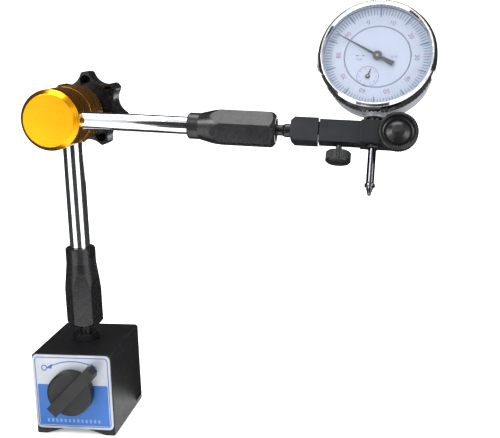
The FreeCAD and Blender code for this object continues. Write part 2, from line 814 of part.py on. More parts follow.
def clamp_body():
    """Arm with the fine-adjust slot at one end and the split stem clamp at the other."""
    half, thick = size.clamp_half_height, size.clamp_half_thick
    start, end = size.clamp_start, size.clamp_end
    boss = size.boss_half_thick
    body = Piece("clamp_body", HEAD_FACE)
    body.pad(rectangle(body.sketch(start=-thick), start, -half, end - 4, half), 2 * thick)
    shape = outline(body.sketch(start=-boss), [
        (size.boss_start, -half),
        (end - 2, -half),
        (end, -half + 2),
        (end, half - 2),
        (end - 2, half),
        (size.boss_start, half),
    ])
    body.pad(shape, 2 * boss)

    slot = rectangle(body.sketch(start=-2.2), start - 0.2, -3.25, start + 8.4, half + 0.5)
    body.cut(slot, 4.4)
    seat = rectangle(body.sketch(start=-2.2), start + 8.3, -3.25, size.tongue_end + 1.2, 4.3)
    body.cut(seat, 4.4)
    pin = body.sketch(start=-thick)
    body.cut(circle(pin, size.pin_radius + size.fit, size.pin_station, size.pin_height), 2 * thick)

    stem = body.sketch("XZ_Plane", start=-half)
    body.cut(circle(stem, size.stem_radius + size.fit, size.stem_station), 2 * half)
    split = rectangle(body.sketch(start=-0.5), size.stem_station, -half, end, half)
    body.cut(split, 1)
    clamp = body.sketch(start=-boss)
    body.cut(circle(clamp, 2.58, size.clamp_knob_station, -size.clamp_knob_drop), 2 * boss)
    thread = body.sketch("XZ_Plane", start=3)
    body.cut(circle(thread, size.screw_radius, size.screw_station), 4)
    blind = body.sketch("XZ_Plane", start=half - 3.5)
    body.cut(circle(blind, 0.9, 170.5), 4)


def coil(label, placement, radius, wire, low, high, turns):
    """An open coil spring about the body's own Z axis."""
    made = Piece(label, placement)
    profile = circle(made.sketch("XZ_Plane"), wire, radius, low + wire)
    helix = made.body.newObject("PartDesign::AdditiveHelix", "AdditiveHelix")
    helix.Profile = profile
    helix.ReferenceAxis = (profile, ["V_Axis"])
    helix.Mode = "height-turns-angle"
    tie(helix, "Height", as_size(high) - low - 2 * wire)
    tie(helix, "Turns", turns)
    doc.recompute()
    return made


# ---------------------------------------------------------------- dial indicator
def dial_indicator():
    dial_case()
    spindle_group()
    dial_front()
    movement()


def dial_case():
    """Round case with bosses for stem and cap and a lug for the bezel lock screw."""
    radius, bore = size.case_radius, size.case_bore
    back, front = -size.case_back, size.case_front
    case = revolved("dial_case", DIAL_FACE, [
        (bore, back),
        (radius, back),
        (radius, size.bezel_back - 0.3),
        (size.lip_radius, size.bezel_back - 0.3),
        (size.lip_radius, front),
        (bore, front),
    ])
    lug = rectangle(case.sketch(start=-4), -radius - 3.6, -4.0, -bore - 1, 4.0)
    case.pad(lug, 9.8)
    case.pad(circle(case.sketch("XZ_Plane", start=bore + 0.9), 5.9), 4.2)
    case.pad(circle(case.sketch("XZ_Plane", start=-radius - 2.4), 5.0), 3.5)
    case.cut(circle(case.sketch("XZ_Plane", start=20), size.stem_radius + 0.02), 20)
    case.cut(circle(case.sketch("XZ_Plane", start=-radius - 3.2), 3.62), 8)
    screw = case.sketch("YZ_Plane", start=-radius - 4)
    case.cut(circle(screw, 1.55, 0, 1.5), 5.6)

    revolved("stem", DIAL, [
        (size.spindle_radius + size.fit, -size.stem_end),
        (size.stem_radius - 0.5, -size.stem_end),
        (size.stem_radius, -size.stem_end + 0.5),
        (size.stem_radius, -size.case_bore + 0.8),
        (size.spindle_radius + size.fit, -size.case_bore + 0.8),
    ])
    seat = radius + 2.6
    revolved("spindle_cap", DIAL, [
        (2.6, seat - 5),
        (3.6, seat - 5),
        (3.6, seat),
        (4.6, seat),
        (4.6, seat + 2.8),
        (3.8, seat + 3.8),
        (0, seat + 3.8),
        (0, seat + 2),
        (2.6, seat + 2),
    ])
    cover = revolved("back_cover", DIAL_FACE, [
        (0, -10.0),
        (radius - 1.2, -10.0),
        (radius - 0.4, -9.2),
        (radius - 0.4, -8.05),
        (0, -8.05),
    ])
    half = size.lug_height / 2
    lug = outline(cover.sketch("YZ_Plane", start=-3.5), [
        (-half, -9.5),
        (-half + 2, -17.0),
        (-half + 5, -21.5),
        (half - 5, -21.5),
        (half - 2, -17.0),
        (half, -9.5),
    ])
    cover.pad(lug, 7)
    cover.cut(circle(cover.sketch("YZ_Plane", start=-4), size.lug_bore, 0, -16.0), 8)
    revolved("bezel_clamp_screw", DIAL_FACE * shift(-size.case_radius - 3.4, 0, 1.5) * ALONG, [
        (0, 0),
        (1.5, 0),
        (1.5, 4.8),
        (0, 4.8),
    ])


def spindle_group():
    radius = size.spindle_radius
    spindle = revolved("spindle", DIAL, [
        (0, -size.spindle_end),
        (radius, -size.spindle_end),
        (radius, 7.0),
        (radius + 0.75, 7.0),
        (radius + 0.75, 8.0),
        (radius, 8.0),
        (radius, size.spindle_top - 0.5),
        (radius - 0.5, size.spindle_top),
        (0, size.spindle_top),
    ])
    flat = rectangle(spindle.sketch("XY_Plane", start=-23.1), -3, -3, -1.9, 3)
    spindle.cut(flat, 13.7)

    rack = Piece("spindle_rack", DIAL)
    bar = rectangle(rack.sketch("XZ_Plane", start=-1.0), -3.08, -23.0, -1.92, -9.5)
    rack.pad(bar, 2)
    gap = outline(rack.sketch("XZ_Plane", start=-1.0), [
        (-3.2, -22.70),
        (-2.75, -22.58),
        (-2.75, -22.35),
        (-3.2, -22.23),
    ])
    rack.row_of(rack.cut(gap, 2), 0.625 * 20, 21)

    top = -size.spindle_end - 0.02
    end = top - size.contact_length
    point_ = revolved("contact_point", DIAL, [
        (0, end + 0.9),
        (0.9, end + 0.9),
        (1.9, end + 4.0),
        (1.9, top - 2.6),
        (2.9, top - 2.2),
        (2.9, top - 0.8),
        (2.1, top - 0.4),
        (2.1, top),
        (0, top),
    ])
    point_.ball(1.1, z=end + 1.1)
    coil("return_spring", DIAL, 2.78, 0.22, 8.1, 27.85, 9)


def dial_front():
    radius = size.bezel_radius
    back, front = size.bezel_back, size.bezel_front
    window = size.window_radius
    bezel = revolved("bezel", DIAL_FACE, [
        (size.lip_radius + 0.25, back),
        (radius - 0.4, back),
        (radius, back + 0.4),
        (radius, front - 3.0),
        (radius - 0.7, front - 1.0),
        (radius - 1.8, front),
        (radius - 2.5, front),
        (window, front - 1.2),
        (window, size.crystal_front + 0.02),
        (size.crystal_radius + 0.1, size.crystal_front + 0.02),
        (size.crystal_radius + 0.1, size.case_front + 0.3),
        (size.lip_radius + 0.25, size.case_front + 0.3),
    ])
    notch = circle(bezel.sketch(start=back), 0.5, radius + 0.15, 0)
    bezel.ring_of(bezel.cut(notch, 3.2), 90)
    revolved("crystal", DIAL_FACE, [
        (0, size.crystal_back),
        (size.crystal_radius, size.crystal_back),
        (size.crystal_radius, size.crystal_front),
        (0, size.crystal_front),
    ])
    revolved("scale_ring", DIAL_FACE, [
        (size.scale_inner, size.face_back),
        (size.scale_outer, size.face_back),
        (size.scale_outer, size.face_front),
        (size.scale_inner, size.face_front),
    ])
    plate = Piece("centre_plate", DIAL_FACE)
    disc = circle(plate.sketch(start=size.face_back), size.scale_inner - 0.25)
    circle(disc, 1.6)
    circle(disc, 1.3, -size.arbor_x, -size.arbor_drop)
    plate.pad(disc, size.face_front - size.face_back)

    needle = revolved("pointer", DIAL_FACE * spin((0, 0, 1), 150.6), [
        (0.82, 10.0),
        (2.6, 10.0),
        (2.6, 10.9),
        (2.1, 11.3),
        (0.82, 11.3),
    ])
    blade = outline(needle.sketch(start=10.1), [
        (2.0, -0.75),
        (26.4, -0.12),
        (26.4, 0.12),
        (2.0, 0.75),
    ])
    needle.pad(blade, 0.4)
    tail = outline(needle.sketch(start=10.1), [
        (-2.0, -0.8),
        (-10.2, -1.6),
        (-10.2, 1.6),
        (-2.0, 0.8),
    ])
    needle.pad(tail, 0.4)

    arbor = DIAL_FACE * shift(-size.arbor_x, -size.arbor_drop, 0)
    counter = revolved("counter_pointer", arbor * spin((0, 0, 1), 72), [
        (0.52, 9.1),
        (1.1, 9.1),
        (1.1, 9.7),
        (0.52, 9.7),
    ])
    counter.pad(outline(counter.sketch(start=9.15), [
        (0.8, -0.4),
        (4.7, -0.08),
        (4.7, 0.08),
        (0.8, 0.4),
    ]), 0.3)


def movement():
    """Gear train: rack, counting arbor, centre pinion and the hairspring wheel."""
    arbor_at = (-size.arbor_x, -size.arbor_drop)
    wheel_at = (size.wheel_x, size.wheel_rise)
    plate = Piece("movement_plate", DIAL_FACE)
    disc = circle(plate.sketch(start=4.7), size.case_bore - 0.1)
    circle(disc, 1.2)
    circle(disc, 0.8, *arbor_at)
    circle(disc, 0.8, *wheel_at)
    plate.pad(disc, 1.2)

    bridge = Piece("bridge_plate", DIAL_FACE)
    disc = circle(bridge.sketch(start=-7.2), size.case_bore - 0.1)
    circle(disc, 0.8, *arbor_at)
    circle(disc, 0.8, *wheel_at)
    bridge.pad(disc, 1.2)

    teeth = int(SIZES["gear_teeth"])
    arbor = revolved("rack_arbor", DIAL_FACE * shift(*arbor_at, 0), [
        (0, -7.0),
        (0.5, -7.0),
        (0.5, 9.9),
        (0, 9.9),
    ])
    toothed(arbor, 1.46, 0.4, 16, -1.5, 4.55)
    toothed(arbor, size.gear_radius, 0.3, teeth, 3.1, 0.7)

    centre = revolved("centre_arbor", DIAL_FACE, [
        (0, 2.5),
        (0.8, 2.5),
        (0.8, 11.0),
        (0, 11.0),
    ])
    toothed(centre, 1.14, 0.25, 10, 2.6, 1.6)

    wheel = revolved("hairspring_wheel", DIAL_FACE * shift(*wheel_at, 0), [
        (0, -7.0),
        (0.5, -7.0),
        (0.5, 5.7),
        (0, 5.7),
    ])
    toothed(wheel, size.gear_radius, 0.3, teeth, 3.1, 0.7)
    hairspring(DIAL_FACE * shift(*wheel_at, 0))


def hairspring(placement):
    """Flat spiral ribbon, inner end at the wheel's arbor."""
    sheet = doc.getObject("sizes")
    inner = sheet.get("hairspring_inner")
    pitch = sheet.get("hairspring_pitch")
    ribbon = sheet.get("hairspring_ribbon")
    turns = int(sheet.get("hairspring_turns"))
    steps = 16 * turns
    out, home = [], []
    for index in range(steps + 1):
        angle = 2.0 * math.pi * turns * index / steps
        radius = inner + pitch * angle / (2.0 * math.pi)
        out.append(V(radius * math.cos(angle), radius * math.sin(angle), -3.4))
        radius += ribbon
        home.append(V(radius * math.cos(angle), radius * math.sin(angle), -3.4))
    edge = Part.makePolygon(out + home[::-1] + out[:1])
    SolidPiece("hairspring", Part.Face(edge).extrude(V(0, 0, 1)), placement)


# ---------------------------------------------------------------- checks and files
def check_and_write():
    doc.recompute()
    for item in doc.Objects:
        if "Invalid" in item.State or "Error" in item.State:
            raise ValueError(f"{item.Name} did not compute: {item.State}")
    os.makedirs("parts", exist_ok=True)
    for piece in Piece.made:
        shape = piece.body.Shape
        if shape.isNull() or not shape.isValid() or len(shape.Solids) != 1:
            raise ValueError(f"{piece.body.Label} is not one valid solid")
        shape.exportStep(f"parts/{piece.body.Label}.step")


write_sheet()
magnetic_base()
lower_arm()
arm_lock()
upper_arm()
clamp_head()
dial_indicator()
check_and_write()
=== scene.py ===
"""Dial indicator on a magnetic base: finishes, printed faces, light and camera."""
import bpy
import bmesh
import json
import math
from mathutils import Matrix, Vector


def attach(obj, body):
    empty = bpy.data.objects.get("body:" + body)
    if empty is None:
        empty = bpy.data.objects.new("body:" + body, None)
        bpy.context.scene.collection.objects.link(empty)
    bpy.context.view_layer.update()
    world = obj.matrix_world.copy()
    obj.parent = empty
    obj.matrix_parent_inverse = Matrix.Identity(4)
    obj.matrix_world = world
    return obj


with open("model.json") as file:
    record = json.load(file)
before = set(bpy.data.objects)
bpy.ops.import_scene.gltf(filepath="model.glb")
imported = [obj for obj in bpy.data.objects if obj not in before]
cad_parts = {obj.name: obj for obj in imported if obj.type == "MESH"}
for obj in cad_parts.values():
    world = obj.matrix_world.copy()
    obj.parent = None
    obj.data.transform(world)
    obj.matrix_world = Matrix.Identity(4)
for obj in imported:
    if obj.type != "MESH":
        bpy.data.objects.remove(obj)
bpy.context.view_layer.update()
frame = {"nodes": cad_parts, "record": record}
MM = 0.001
WELD = 1e-7

# ------------------------------------------------------------------ frames of the sub-assemblies
# Millimetres and degrees, the same values as in the CAD.
LOCK_HEIGHT, ARM_OFFSET, ARM_DROOP, HEAD_ROLL = 193.75, 24.4, 3.6, 27.0
STEM_STATION, DIAL_LIFT, DIAL_YAW = 181.7, 42.5, 4.0
BASE_FRONT = 30.0


def move(x, y, z):
    return Matrix.Translation((x * MM, y * MM, z * MM))


def turn(degrees, axis):
    return Matrix.Rotation(math.radians(degrees), 4, axis)


FACING = turn(90, "X")
LOCK = move(0, 0, LOCK_HEIGHT)
UPPER_ARM = LOCK @ turn(ARM_DROOP, "Y") @ move(0, -ARM_OFFSET, 0)
HEAD = UPPER_ARM @ turn(-HEAD_ROLL, "X")
DIAL_FACE = HEAD @ move(STEM_STATION, 0, DIAL_LIFT) @ turn(-DIAL_YAW, "Z") @ FACING
LABEL_FACE = FACING @ move(0, 0, BASE_FRONT)


# ------------------------------------------------------------------ finishes
NOISE_LOW, NOISE_HIGH = 0.3, 0.7
EDGE_RADIUS = 0.4 * MM
EDGE_SAMPLES = 4


class Finish:
    """A procedural material built round one Principled shader."""

    def __init__(self, name, colour, metallic=0.0, roughness=0.5, **sockets):
        self.material = bpy.data.materials.new(name)
        self.material.use_nodes = True
        self.nodes = self.material.node_tree.nodes
        self.links = self.material.node_tree.links
        self.shader = self.nodes["Principled BSDF"]
        self.colour = (*colour, 1.0)
        self.shader.inputs["Base Color"].default_value = self.colour
        self.shader.inputs["Metallic"].default_value = metallic
        self.shader.inputs["Roughness"].default_value = roughness
        for socket, value in sockets.items():
            self.shader.inputs[socket.replace("_", " ")].default_value = value
        self.place = self.nodes.new("ShaderNodeTexCoord")

    def noise(self, scale, stretch=(1, 1, 1), detail=6.0, angles=(0, 0, 0)):
        mapping = self.nodes.new("ShaderNodeMapping")
        mapping.inputs["Scale"].default_value = stretch
        mapping.inputs["Rotation"].default_value = angles
        grain = self.nodes.new("ShaderNodeTexNoise")
        grain.inputs["Scale"].default_value = scale
        grain.inputs["Detail"].default_value = detail
        self.links.new(self.place.outputs["Object"], mapping.inputs["Vector"])
        self.links.new(mapping.outputs["Vector"], grain.inputs["Vector"])
        return grain.outputs["Fac"]

    def lathe_lines(self, frame_of_axis, scale):
        """Fine rings left by turning, about the Z axis of the frame given."""
        local = self.nodes.new("ShaderNodeMapping")
        local.vector_type = "TEXTURE"
        local.inputs["Location"].default_value = frame_of_axis.translation
        local.inputs["Rotation"].default_value = frame_of_axis.to_euler("XYZ")
        parts = self.nodes.new("ShaderNodeSeparateXYZ")
        flat, pair = (self.nodes.new("ShaderNodeCombineXYZ") for _ in range(2))
        reach = self.nodes.new("ShaderNodeVectorMath")
        reach.operation = "LENGTH"
        grain = self.nodes.new("ShaderNodeTexNoise")
        grain.inputs["Scale"].default_value = scale
        grain.inputs["Detail"].default_value = 3.0
        self.links.new(self.place.outputs["Object"], local.inputs["Vector"])
        self.links.new(local.outputs["Vector"], parts.inputs["Vector"])
        self.links.new(parts.outputs["X"], flat.inputs["X"])
        self.links.new(parts.outputs["Y"], flat.inputs["Y"])
        self.links.new(flat.outputs["Vector"], reach.inputs[0])
        self.links.new(reach.outputs["Value"], pair.inputs["X"])
        self.links.new(parts.outputs["Z"], pair.inputs["Y"])
        self.links.new(pair.outputs["Vector"], grain.inputs["Vector"])
        return grain.outputs["Fac"]

    def vary_roughness(self, source, low, high):
        spread = self.nodes.new("ShaderNodeMapRange")
        spread.inputs["From Min"].default_value = NOISE_LOW
        spread.inputs["From Max"].default_value = NOISE_HIGH
        spread.inputs["To Min"].default_value = low
        spread.inputs["To Max"].default_value = high
        self.links.new(source, spread.inputs["Value"])
        self.links.new(spread.outputs["Result"], self.shader.inputs["Roughness"])

    def vary_colour(self, source, other, low=0.4, high=0.65):
        ramp = self.nodes.new("ShaderNodeValToRGB")
        ramp.color_ramp.elements[0].position = low
        ramp.color_ramp.elements[0].color = self.colour
        ramp.color_ramp.elements[1].position = high
        ramp.color_ramp.elements[1].color = (*other, 1.0)
        self.links.new(source, ramp.inputs["Fac"])
        self.links.new(ramp.outputs["Color"], self.shader.inputs["Base Color"])

    def relief(self, source, strength, depth=0.0002):
        """Fine bump over edges that are drawn slightly rounded."""
        bump = self.nodes.new("ShaderNodeBump")
        bump.inputs["Strength"].default_value = strength
        bump.inputs["Distance"].default_value = depth
        self.links.new(source, bump.inputs["Height"])
        soft = self.nodes.new("ShaderNodeBevel")
        soft.samples = EDGE_SAMPLES
        soft.inputs["Radius"].default_value = EDGE_RADIUS
        self.links.new(soft.outputs["Normal"], bump.inputs["Normal"])
        self.links.new(bump.outputs["Normal"], self.shader.inputs["Normal"])


def plain_finish(name, colour, other, metallic, low, high, grain, depth, **sockets):
    """Fine all-round grain with a slow drift of colour and gloss."""
    made = Finish(name, colour, metallic, low, **sockets)
    made.vary_colour(made.noise(90.0), other)
    made.vary_roughness(made.noise(260.0, detail=8.0), low, high)
    made.relief(made.noise(grain, detail=4.0), depth)
    return made.material


def drawn_finish(name, colour, other, low, high, stretch, metallic=1.0, depth=0.05,
                 angles=(0, 0, 0)):
    """Metal with fine lines left by turning, drawing or grinding."""
    made = Finish(name, colour, metallic, low)
    lines = made.noise(900.0, stretch, 4.0, angles)
    made.vary_roughness(lines, low, high)
    made.vary_colour(made.noise(60.0), other)
    made.relief(lines, depth, 0.00008)
    return made.material


def turned_finish(name, colour, other, low, high, axis, scale, metallic=1.0, depth=0.05):
    """Metal turned on a lathe: fine rings about one axis."""
    made = Finish(name, colour, metallic, low)
    lines = made.lathe_lines(axis, scale)
    made.vary_roughness(lines, low, high)
    made.vary_colour(made.noise(25.0, detail=2.0), other)
    made.relief(lines, depth, 0.00006)
    return made.material


TILTED = (0.0, math.radians(-ARM_DROOP), 0.0)
LOW_SHINE = {"Specular_IOR_Level": 0.3}
FINISHES = {
    "steel_painted": plain_finish("black_enamel", (0.007, 0.007, 0.008), (0.009, 0.009, 0.01),
                                  0.0, 0.36, 0.46, 1400.0, 0.16, **LOW_SHINE),
    "brass": drawn_finish("sawn_brass", (0.62, 0.44, 0.17), (0.5, 0.34, 0.12), 0.22, 0.42,
                          (1, 1, 0.05)),
    "label": drawn_finish("satin_label_metal", (0.42, 0.44, 0.48), (0.36, 0.38, 0.42), 0.28, 0.45,
                          (0.05, 1, 1), metallic=0.25),
    "magnet": plain_finish("sintered_magnet", (0.05, 0.05, 0.052), (0.08, 0.08, 0.08),
                           0.3, 0.5, 0.7, 700.0, 0.3),
    "bright_steel": drawn_finish("ground_steel", (0.55, 0.55, 0.56), (0.45, 0.45, 0.46),
                                 0.2, 0.38, (1, 0.05, 1)),
    "switch_plastic": plain_finish("moulded_switch", (0.009, 0.009, 0.009),
                                   (0.012, 0.012, 0.012), 0.0, 0.34, 0.46, 1100.0, 0.22,
                                   **LOW_SHINE),
    "blackened_steel": plain_finish("black_oxide_steel", (0.009, 0.009, 0.01),
                                    (0.013, 0.013, 0.014), 0.2, 0.22, 0.32, 1600.0, 0.08),
    "chrome_tube": drawn_finish("chromed_tube", (0.82, 0.83, 0.84), (0.76, 0.77, 0.79),
                                0.05, 0.1, (0.05, 0.05, 1), depth=0.012),
    "gold_anodised": turned_finish("gold_anodised_aluminium", (0.98, 0.43, 0.012),
                                   (0.94, 0.39, 0.01), 0.2, 0.3, LOCK @ FACING, 2200.0),
    "ring": plain_finish("dark_red_ring", (0.16, 0.012, 0.012), (0.1, 0.01, 0.01),
                         0.0, 0.4, 0.55, 900.0, 0.2),
    "knob_plastic": plain_finish("moulded_knob", (0.006, 0.006, 0.007), (0.009, 0.009, 0.01),
                                 0.0, 0.2, 0.32, 800.0, 0.12),
    "block_anodised": drawn_finish("brushed_black_anodise", (0.026, 0.027, 0.031),
                                   (0.02, 0.021, 0.024), 0.28, 0.4, (0.04, 1, 1),
                                   metallic=0.6, angles=TILTED),
    "screw_black": plain_finish("black_knurled_steel", (0.01, 0.01, 0.011),
                                (0.014, 0.014, 0.015), 0.25, 0.2, 0.32, 1300.0, 0.08),
    "spring": drawn_finish("spring_wire", (0.5, 0.5, 0.5), (0.4, 0.4, 0.4), 0.25, 0.4, (1, 1, 0.1)),
    "case": turned_finish("satin_case_metal", (0.5, 0.5, 0.54), (0.45, 0.45, 0.49), 0.24, 0.36,
                          DIAL_FACE, 1800.0, metallic=0.4),
    "chrome_trim": turned_finish("chromed_bezel", (0.84, 0.84, 0.86), (0.8, 0.8, 0.82),
                                 0.05, 0.1, DIAL_FACE, 1600.0, depth=0.012),
    "stem_steel": turned_finish("ground_stem_steel", (0.13, 0.125, 0.14), (0.1, 0.1, 0.11),
                                0.14, 0.22, DIAL_FACE @ FACING.inverted(), 1600.0, depth=0.02),
    "dial_print": plain_finish("white_dial_enamel", (0.35, 0.385, 0.48), (0.37, 0.405, 0.5),
                               0.0, 0.45, 0.55, 900.0, 0.04, **LOW_SHINE),
    "pointer_black": plain_finish("pointer_lacquer", (0.012, 0.012, 0.02), (0.02, 0.02, 0.03),
                                  0.2, 0.3, 0.45, 900.0, 0.1),
}


def crystal_finish():
    """Clear acrylic: mostly see-through, with a glossy coat."""
    made = Finish("clear_crystal", (0.4, 0.45, 0.55), 0.0, 0.03, Alpha=0.07)
    made.vary_roughness(made.noise(120.0), 0.02, 0.05)
    made.vary_colour(made.noise(40.0), (0.36, 0.41, 0.5))
    made.relief(made.noise(60.0), 0.02)
    return made.material


FINISHES["crystal"] = crystal_finish()
# Colour, the colour it drifts to, lowest roughness and depth of grain.
INKS = {
    "blue": ((0.016, 0.105, 0.36), (0.018, 0.115, 0.39), 0.35, 0.06),
    "white": ((0.14, 0.25, 0.46), (0.16, 0.27, 0.48), 0.4, 0.05),
    "slate": ((0.07, 0.15, 0.22), (0.09, 0.17, 0.25), 0.4, 0.05),
    "rose": ((0.2, 0.1, 0.15), (0.23, 0.12, 0.17), 0.4, 0.05),
    "grey": ((0.1, 0.12, 0.17), (0.12, 0.14, 0.19), 0.4, 0.05),
    "black": ((0.02, 0.02, 0.03), (0.03, 0.03, 0.04), 0.4, 0.05),
}
PRINTS = {ink: plain_finish(ink + "_print", colour, other, 0.0, low, 0.5, 900.0, depth)
          for ink, (colour, other, low, depth) in INKS.items()}

SLOT_OF = {item["node"]: item["material_slot"] for item in frame["record"]["subparts"]}
for node, thing in frame["nodes"].items():
    finish = FINISHES[SLOT_OF[node]]
    if not thing.material_slots:
        thing.data.materials.append(finish)
    for holder in thing.material_slots:
        holder.material = finish


# ------------------------------------------------------------------ making pieces
def piece(name, mesh, finish, body, place):
    """One finished piece: its mesh is put in place, and it rides on a body."""
    mesh.transform(place)
    made = bpy.data.objects.new(name, mesh)
    bpy.context.scene.collection.objects.link(made)
    mesh.materials.clear()
    mesh.materials.append(finish)
    for face in mesh.polygons:
        face.material_index = 0
    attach(made, body)


def clean(mesh_data, mesh):
    """Welds the points, turns the faces outward and fills the mesh."""
    bmesh.ops.remove_doubles(mesh_data, verts=mesh_data.verts, dist=WELD)
    bmesh.ops.recalc_face_normals(mesh_data, faces=mesh_data.faces)
    mesh_data.to_mesh(mesh)
    mesh_data.free()
    return mesh


def slab(name, loops, low, high):
    """Closed plates from outlines in millimetres, between two heights."""
    mesh = bpy.data.meshes.new(name)
    data = bmesh.new()
    for loop in loops:
        lower = [data.verts.new((x * MM, y * MM, low * MM)) for x, y in loop]
        upper = [data.verts.new((x * MM, y * MM, high * MM)) for x, y in loop]
        data.faces.new(lower[::-1])
        data.faces.new(upper)
        for index in range(len(loop)):
            following = (index + 1) % len(loop)
            data.faces.new((lower[index], lower[following], upper[following], upper[index]))
    return clean(data, mesh)


def band(name, outer, inner, low, high):
    """A closed flat frame between an outer and an inner outline of equal length."""
    mesh = bpy.data.meshes.new(name)
    data = bmesh.new()
    rows = []
    for loop, height in ((outer, low), (outer, high), (inner, high), (inner, low)):
        rows.append([data.verts.new((x * MM, y * MM, height * MM)) for x, y in loop])
    count = len(outer)
    for row in range(4):
        for index in range(count):
            following = (index + 1) % count
            data.faces.new((rows[row][index], rows[row][following],
                            rows[(row + 1) % 4][following], rows[(row + 1) % 4][index]))
    return clean(data, mesh)


def rounded(left, bottom, right, top, radius, steps=6):
    """Outline of a rectangle with round corners."""
    loop = []
    corners = ((right, top, 0), (left, top, 90), (left, bottom, 180), (right, bottom, 270))
    for x, y, start in corners:
        cx = x - radius if x == right else x + radius
        cy = y - radius if y == top else y + radius
        for index in range(steps + 1):
            angle = math.radians(start + 90.0 * index / steps)
            loop.append((cx + radius * math.cos(angle), cy + radius * math.sin(angle)))
    return loop


def arc(radius, start, end, steps, x=0.0, y=0.0):
    points = []
    for index in range(steps + 1):
        angle = math.radians(start + (end - start) * index / steps)
        points.append((x + radius * math.cos(angle), y + radius * math.sin(angle)))
    return points


def ring(name, radius, width, low, high, x=0.0, y=0.0, steps=96):
    outer = arc(radius + width / 2, 0, 360, steps, x, y)[:-1]
    inner = arc(radius - width / 2, 0, 360, steps, x, y)[:-1]
    return band(name, outer, inner, low, high)


FONT_SIZE_PER_HEIGHT = 1.35


def sign(text, height, x, y, low, thick, angle=0.0):
    """Raised figures as a mesh, centred on x and y."""
    curve = bpy.data.curves.new("sign", "FONT")
    curve.body = text
    curve.size = height * FONT_SIZE_PER_HEIGHT * MM
    curve.align_x = "CENTER"
    curve.align_y = "CENTER"
    curve.extrude = thick / 2 * MM
    curve.resolution_u = 3
    holder = bpy.data.objects.new("sign", curve)
    bpy.context.scene.collection.objects.link(holder)
    bpy.context.view_layer.update()
    ready = holder.evaluated_get(bpy.context.evaluated_depsgraph_get())
    mesh = bpy.data.meshes.new_from_object(ready)
    bpy.data.objects.remove(holder)
    mesh.transform(move(x, y, low + thick / 2) @ turn(angle, "Z"))
    return mesh


def joined(name, meshes):
    """Several meshes as one."""
    data = bmesh.new()
    for mesh in meshes:
        data.from_mesh(mesh)
    whole = bpy.data.meshes.new(name)
    return clean(data, whole)


# ------------------------------------------------------------------ repeats by geometry nodes
def mark_circle_tree():
    """Bars spread round a circle, each one pointing at the centre."""
    tree = bpy.data.node_groups.new("marks_round_a_circle", "GeometryNodeTree")
    face = tree.interface
    face.new_socket("Geometry", in_out="INPUT", socket_type="NodeSocketGeometry")
    names = (("Count", "NodeSocketInt"), ("Radius", "NodeSocketFloat"),
             ("Size", "NodeSocketVector"), ("Finish", "NodeSocketMaterial"))
    for name, kind in names:
        face.new_socket(name, in_out="INPUT", socket_type=kind)
    face.new_socket("Geometry", in_out="OUTPUT", socket_type="NodeSocketGeometry")
    nodes, link = tree.nodes, tree.links.new
    given, result = nodes.new("NodeGroupInput"), nodes.new("NodeGroupOutput")
    circle = nodes.new("GeometryNodeMeshCircle")
    bar = nodes.new("GeometryNodeMeshCube")
    spread = nodes.new("GeometryNodeInstanceOnPoints")
    index = nodes.new("GeometryNodeInputIndex")
    share, angle = nodes.new("ShaderNodeMath"), nodes.new("ShaderNodeCombineXYZ")
    whole = nodes.new("ShaderNodeMath")
    whole.operation, share.operation = "DIVIDE", "MULTIPLY"
    whole.inputs[0].default_value = 2.0 * math.pi
    real, paint = nodes.new("GeometryNodeRealizeInstances"), nodes.new("GeometryNodeSetMaterial")
    link(given.outputs["Count"], circle.inputs["Vertices"])
    link(given.outputs["Radius"], circle.inputs["Radius"])
    link(given.outputs["Size"], bar.inputs["Size"])
    link(given.outputs["Count"], whole.inputs[1])
    link(index.outputs[0], share.inputs[0])
    link(whole.outputs[0], share.inputs[1])
    link(share.outputs[0], angle.inputs["Z"])
    link(circle.outputs["Mesh"], spread.inputs["Points"])
    link(bar.outputs["Mesh"], spread.inputs["Instance"])
    link(angle.outputs["Vector"], spread.inputs["Rotation"])
    link(spread.outputs["Instances"], real.inputs["Geometry"])
    link(real.outputs["Geometry"], paint.inputs["Geometry"])
    link(given.outputs["Finish"], paint.inputs["Material"])
    link(paint.outputs["Geometry"], result.inputs["Geometry"])
    return tree


MARKS = mark_circle_tree()


def marks(count, radius, size, finish):
    """Evaluates the tree once and returns a plain mesh, sizes in millimetres."""
    holder = bpy.data.objects.new("marks", bpy.data.meshes.new("marks"))
    bpy.context.scene.collection.objects.link(holder)
    modifier = holder.modifiers.new("marks", "NODES")
    modifier.node_group = MARKS
    values = {"Count": count, "Radius": radius * MM,
              "Size": tuple(item * MM for item in size), "Finish": finish}
    for item in MARKS.interface.items_tree:
        if item.in_out == "INPUT" and item.name in values:
            modifier[item.identifier] = values[item.name]
    bpy.context.view_layer.update()
    ready = holder.evaluated_get(bpy.context.evaluated_depsgraph_get())
    mesh = bpy.data.meshes.new_from_object(ready)
    bpy.data.objects.remove(holder)
    return mesh


# ------------------------------------------------------------------ printed label on the base
LABEL_PRINT_HEIGHT = 0.06
BOW_CENTRE, BOW_RADIUS, BOW_WIDTH = (1.0, 17.0), 31.0, 0.6
DASHES, DASH_START, DASH_PITCH, DASH_LENGTH = 13, -17.4, 2.7, 1.3
DASH_BOTTOM, DASH_TOP, DASH_LIFT = 8.2, 10.3, 0.05


def label_piece(name, mesh, ink):
    piece(name, mesh, PRINTS[ink], "base", LABEL_FACE)


